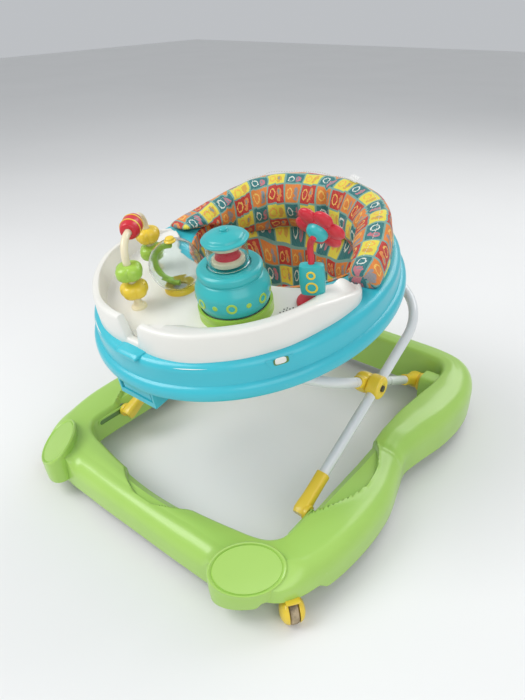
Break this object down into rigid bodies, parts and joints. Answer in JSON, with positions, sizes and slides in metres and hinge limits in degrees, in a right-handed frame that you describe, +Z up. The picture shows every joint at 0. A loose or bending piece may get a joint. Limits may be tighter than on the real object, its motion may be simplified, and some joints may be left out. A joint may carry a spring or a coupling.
{
  "type": "baby walker",
  "caption": "Baby walker: moulded ring base on casters, folding tube scissor frame, tilted oval tray with lift-off toy tray and padded print seat.",
  "frame": {"origin": "on the floor, under the middle of the whole walker's box", "axes": "+X to the right seen from the front, -Y the front with the toys, +Z up"},
  "size_m": [0.672, 0.7861, 0.5697],
  "materials": {
    "green_moulding": "satin",
    "blue_moulding": "satin",
    "white_moulding": "satin",
    "yellow_moulding": "satin",
    "white_tube": "gloss",
    "steel": "satin",
    "grip_rubber": "matte",
    "wheel_tread": "worn",
    "wheel_yellow": "satin",
    "turquoise_toy": "gloss",
    "red_toy": "gloss",
    "lime_toy": "gloss",
    "cream_toy": "gloss",
    "clear_toy": "clear",
    "seat_print": "woven",
    "yellow_toy": "gloss"
  },
  "bodies": {
    "base": {"base_shell": "green_moulding", "grip_strip_front": "grip_rubber", "grip_strip_rear": "grip_rubber", "grip_strip_left": "grip_rubber", "grip_strip_right": "grip_rubber", "pivot_pin_left": "steel", "pivot_pin_right": "steel", "rear_axle_left": "steel", "rear_axle_right": "steel"},
    "rear_leg": {"rear_leg_tube": "white_tube", "rear_foot_left": "yellow_moulding", "rear_foot_right": "yellow_moulding", "hub_inner_left": "yellow_moulding", "hub_inner_right": "yellow_moulding"},
    "front_leg": {"front_leg_tube": "white_tube", "slide_shoe_left": "yellow_moulding", "slide_shoe_right": "yellow_moulding", "slide_pin_left": "steel", "slide_pin_right": "steel", "hub_outer_left": "yellow_moulding", "hub_outer_right": "yellow_moulding", "hub_rivet_left": "steel", "hub_rivet_right": "steel"},
    "tray": {"tray_ring": "blue_moulding", "height_track": "blue_moulding", "seat_back": "seat_print", "seat_bucket": "seat_print", "rear_hanger_left": "blue_moulding", "rear_hanger_right": "blue_moulding"},
    "height_lever": {"height_lever": "blue_moulding"},
    "front_tab": {"front_tab": "blue_moulding"},
    "toy_tray": {"toy_tray": "white_moulding", "pot_base": "lime_toy", "pot_body": "turquoise_toy", "ball_base": "yellow_toy", "arch_tube": "cream_toy", "post_base": "red_toy", "post_body": "turquoise_toy", "post_stem": "red_toy"},
    "lantern": {"lantern_glass": "clear_toy", "lantern_spool": "cream_toy", "lantern_lid": "turquoise_toy"},
    "ball": {"ball_globe": "clear_toy", "ball_fin": "lime_toy"},
    "flower": {"flower_head": "red_toy"},
    "bead_front_low": {"bead_front_low": "yellow_toy"},
    "bead_front_high": {"bead_front_high": "lime_toy"},
    "bead_rear_low": {"bead_rear_low": "lime_toy"},
    "bead_rear_high": {"bead_rear_high": "yellow_toy"},
    "bead_top": {"bead_top": "red_toy"},
    "caster_left": {"caster_stem_left": "steel", "caster_housing_left": "wheel_yellow"},
    "front_wheel_left": {"caster_wheel_left": "wheel_tread"},
    "rear_wheel_left": {"rear_wheel_left": "wheel_yellow"},
    "caster_right": {"caster_stem_right": "steel", "caster_housing_right": "wheel_yellow"},
    "front_wheel_right": {"caster_wheel_right": "wheel_tread"},
    "rear_wheel_right": {"rear_wheel_right": "wheel_yellow"}
  },
  "joints": [
    {"name": "fold", "type": "hinge", "parent": "base", "child": "rear_leg", "pos_m": [0, 0.285, 0.07], "axis": [1, 0, 0], "range_deg": [0, 22.7]},
    {"name": "hub_turn", "type": "hinge", "parent": "rear_leg", "child": "front_leg", "pos_m": [0, 0.051, 0.19285], "axis": [1, 0, 0], "range_deg": [-45.4, 0]},
    {"name": "tray_level", "type": "hinge", "parent": "front_leg", "child": "tray", "pos_m": [0, 0.26792, 0.30674], "axis": [1, 0, 0], "range_deg": [0, 22.54]},
    {"name": "lever_pull", "type": "slide", "parent": "tray", "child": "height_lever", "axis": [0, -0.988, -0.1547], "range_m": [0, 0.006], "stiffness_N_per_m": 400},
    {"name": "tab_press", "type": "slide", "parent": "tray", "child": "front_tab", "axis": [0, 0.1547, -0.988], "range_m": [0, 0.003], "stiffness_N_per_m": 600},
    {"name": "toy_tray_lift", "type": "slide", "parent": "tray", "child": "toy_tray", "axis": [0, -0.1547, 0.988], "range_m": [0, 0.16]},
    {"name": "lantern_spin", "type": "hinge", "parent": "toy_tray", "child": "lantern", "pos_m": [0.082, -0.18251, 0.49397], "axis": [0, -0.1547, 0.988], "continuous": true},
    {"name": "ball_spin", "type": "hinge", "parent": "toy_tray", "child": "ball", "pos_m": [-0.043, -0.17197, 0.44603], "axis": [0, -0.1547, 0.988], "continuous": true},
    {"name": "flower_spin", "type": "hinge", "parent": "toy_tray", "child": "flower", "pos_m": [0.19, -0.11207, 0.53537], "axis": [0, 0.83, 0.5577], "continuous": true},
    {"name": "bead_front_low_spin", "type": "hinge", "parent": "toy_tray", "child": "bead_front_low", "pos_m": [-0.065, -0.24338, 0.42371], "axis": [0, -0.1547, 0.988], "continuous": true},
    {"name": "bead_front_high_spin", "type": "hinge", "parent": "toy_tray", "child": "bead_front_high", "pos_m": [-0.065, -0.24833, 0.45532], "axis": [0, -0.1547, 0.988], "continuous": true},
    {"name": "bead_rear_low_spin", "type": "hinge", "parent": "toy_tray", "child": "bead_rear_low", "pos_m": [-0.13, -0.14557, 0.43902], "axis": [0, -0.1547, 0.988], "continuous": true},
    {"name": "bead_rear_high_spin", "type": "hinge", "parent": "toy_tray", "child": "bead_rear_high", "pos_m": [-0.13, -0.15052, 0.47064], "axis": [0, -0.1547, 0.988], "continuous": true},
    {"name": "bead_top_spin", "type": "hinge", "parent": "toy_tray", "child": "bead_top", "pos_m": [-0.0975, -0.20654, 0.50843], "axis": [-0.5488, 0.8259, 0.1293], "continuous": true},
    {"name": "caster_swivel_left", "type": "hinge", "parent": "base", "child": "caster_left", "pos_m": [-0.284, -0.305, 0.05], "axis": [0, 0, 1], "continuous": true},
    {"name": "front_wheel_spin_left", "type": "hinge", "parent": "caster_left", "child": "front_wheel_left", "pos_m": [-0.3, -0.317, 0.021], "axis": [0.6, -0.8, 0], "continuous": true},
    {"name": "rear_wheel_spin_left", "type": "hinge", "parent": "base", "child": "rear_wheel_left", "pos_m": [-0.265, 0.338, 0.025], "axis": [1, 0, 0], "continuous": true},
    {"name": "caster_swivel_right", "type": "hinge", "parent": "base", "child": "caster_right", "pos_m": [0.284, -0.305, 0.05], "axis": [0, 0, 1], "continuous": true},
    {"name": "front_wheel_spin_right", "type": "hinge", "parent": "caster_right", "child": "front_wheel_right", "pos_m": [0.3, -0.317, 0.021], "axis": [0.6, 0.8, 0], "continuous": true},
    {"name": "rear_wheel_spin_right", "type": "hinge", "parent": "base", "child": "rear_wheel_right", "pos_m": [0.265, 0.338, 0.025], "axis": [1, 0, 0], "continuous": true}
  ],
  "couplings": [
    {"joint": "hub_turn", "follows": "fold", "ratio": -2},
    {"joint": "tray_level", "follows": "fold", "ratio": 0.9923}
  ]
}
